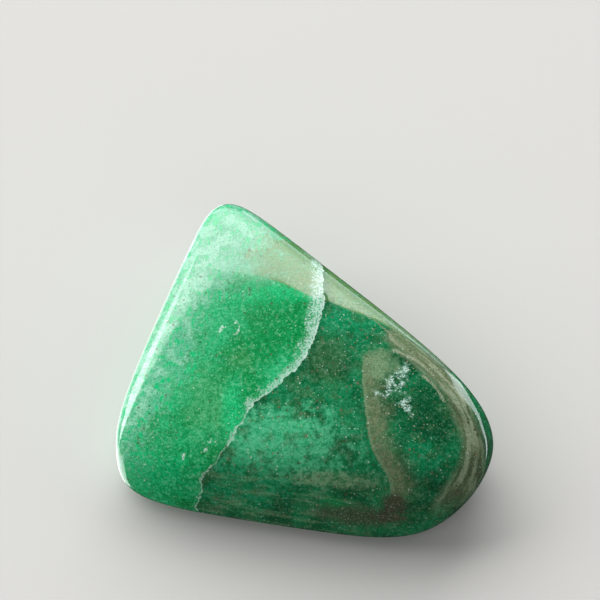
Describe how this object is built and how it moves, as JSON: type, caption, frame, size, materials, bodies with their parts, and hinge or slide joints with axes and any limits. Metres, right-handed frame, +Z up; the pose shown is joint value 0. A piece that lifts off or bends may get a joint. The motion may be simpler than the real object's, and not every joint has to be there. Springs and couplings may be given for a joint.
{
  "type": "tumbled aventurine stone",
  "caption": "Polished green tumbled stone, a rounded triangle with one crisp edge, a pale healed vein and brown iron bands; rests on its flattened underside.",
  "frame": {"origin": "on the plane the stone rests on, under the middle of its bounding box", "axes": "+X along the longest side, from the crisp left corner to the round right end; +Y towards the apex; +Z up, away from the resting face"},
  "size_m": [0.0308, 0.0284, 0.011],
  "materials": {
    "stone": "polished"
  },
  "bodies": {
    "root": {"stone": "stone"}
  },
  "joints": []
}
